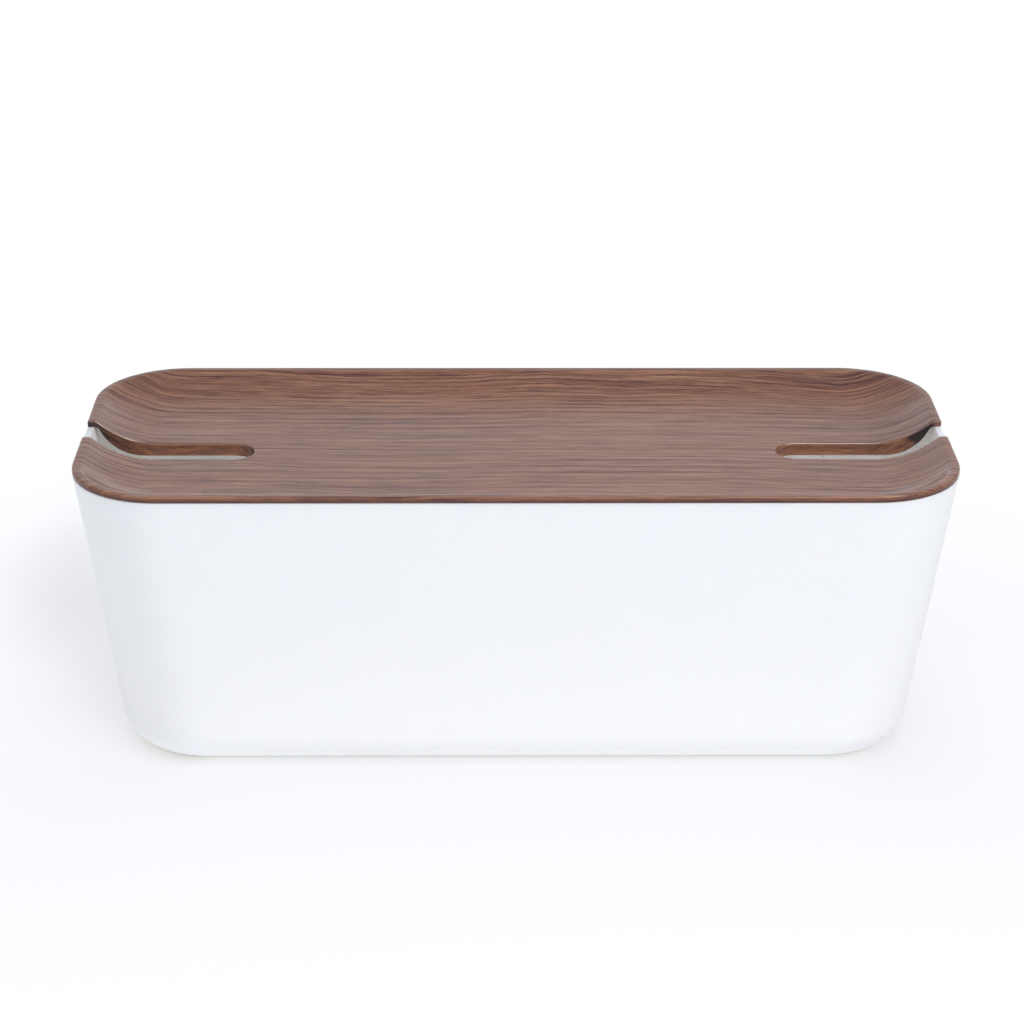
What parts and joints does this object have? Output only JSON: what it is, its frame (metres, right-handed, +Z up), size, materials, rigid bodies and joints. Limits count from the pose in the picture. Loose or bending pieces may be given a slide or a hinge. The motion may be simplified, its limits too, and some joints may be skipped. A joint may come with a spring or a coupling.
{
  "type": "cable management box",
  "caption": "Free-standing tub with a lift-off dished lid that hides a power strip and its leads; open slots at both ends of the lid let the leads out.",
  "frame": {"origin": "on the ground under the middle of the box, at the bottom centre of its bounding box", "axes": "+Z up; +X along the box's length, from one slotted end to the other; +Y across it, from the front long side to the rear one"},
  "size_m": [0.4014, 0.166, 0.142],
  "materials": {
    "tub_white": "satin white moulded plastic",
    "lid_wood_effect": "moulded plastic with a satin walnut-effect printed surface",
    "foot_rubber": "matt grey non-slip rubber"
  },
  "bodies": {
    "tub": {"tub": "tub_white", "foot_front_left": "foot_rubber", "foot_front_right": "foot_rubber", "foot_rear_left": "foot_rubber", "foot_rear_right": "foot_rubber"},
    "lid": {"lid": "lid_wood_effect"}
  },
  "joints": [
    {"name": "lid_lift", "type": "slide", "parent": "tub", "child": "lid", "axis": [0, 0, 1], "range_m": [0, 0.15]}
  ]
}
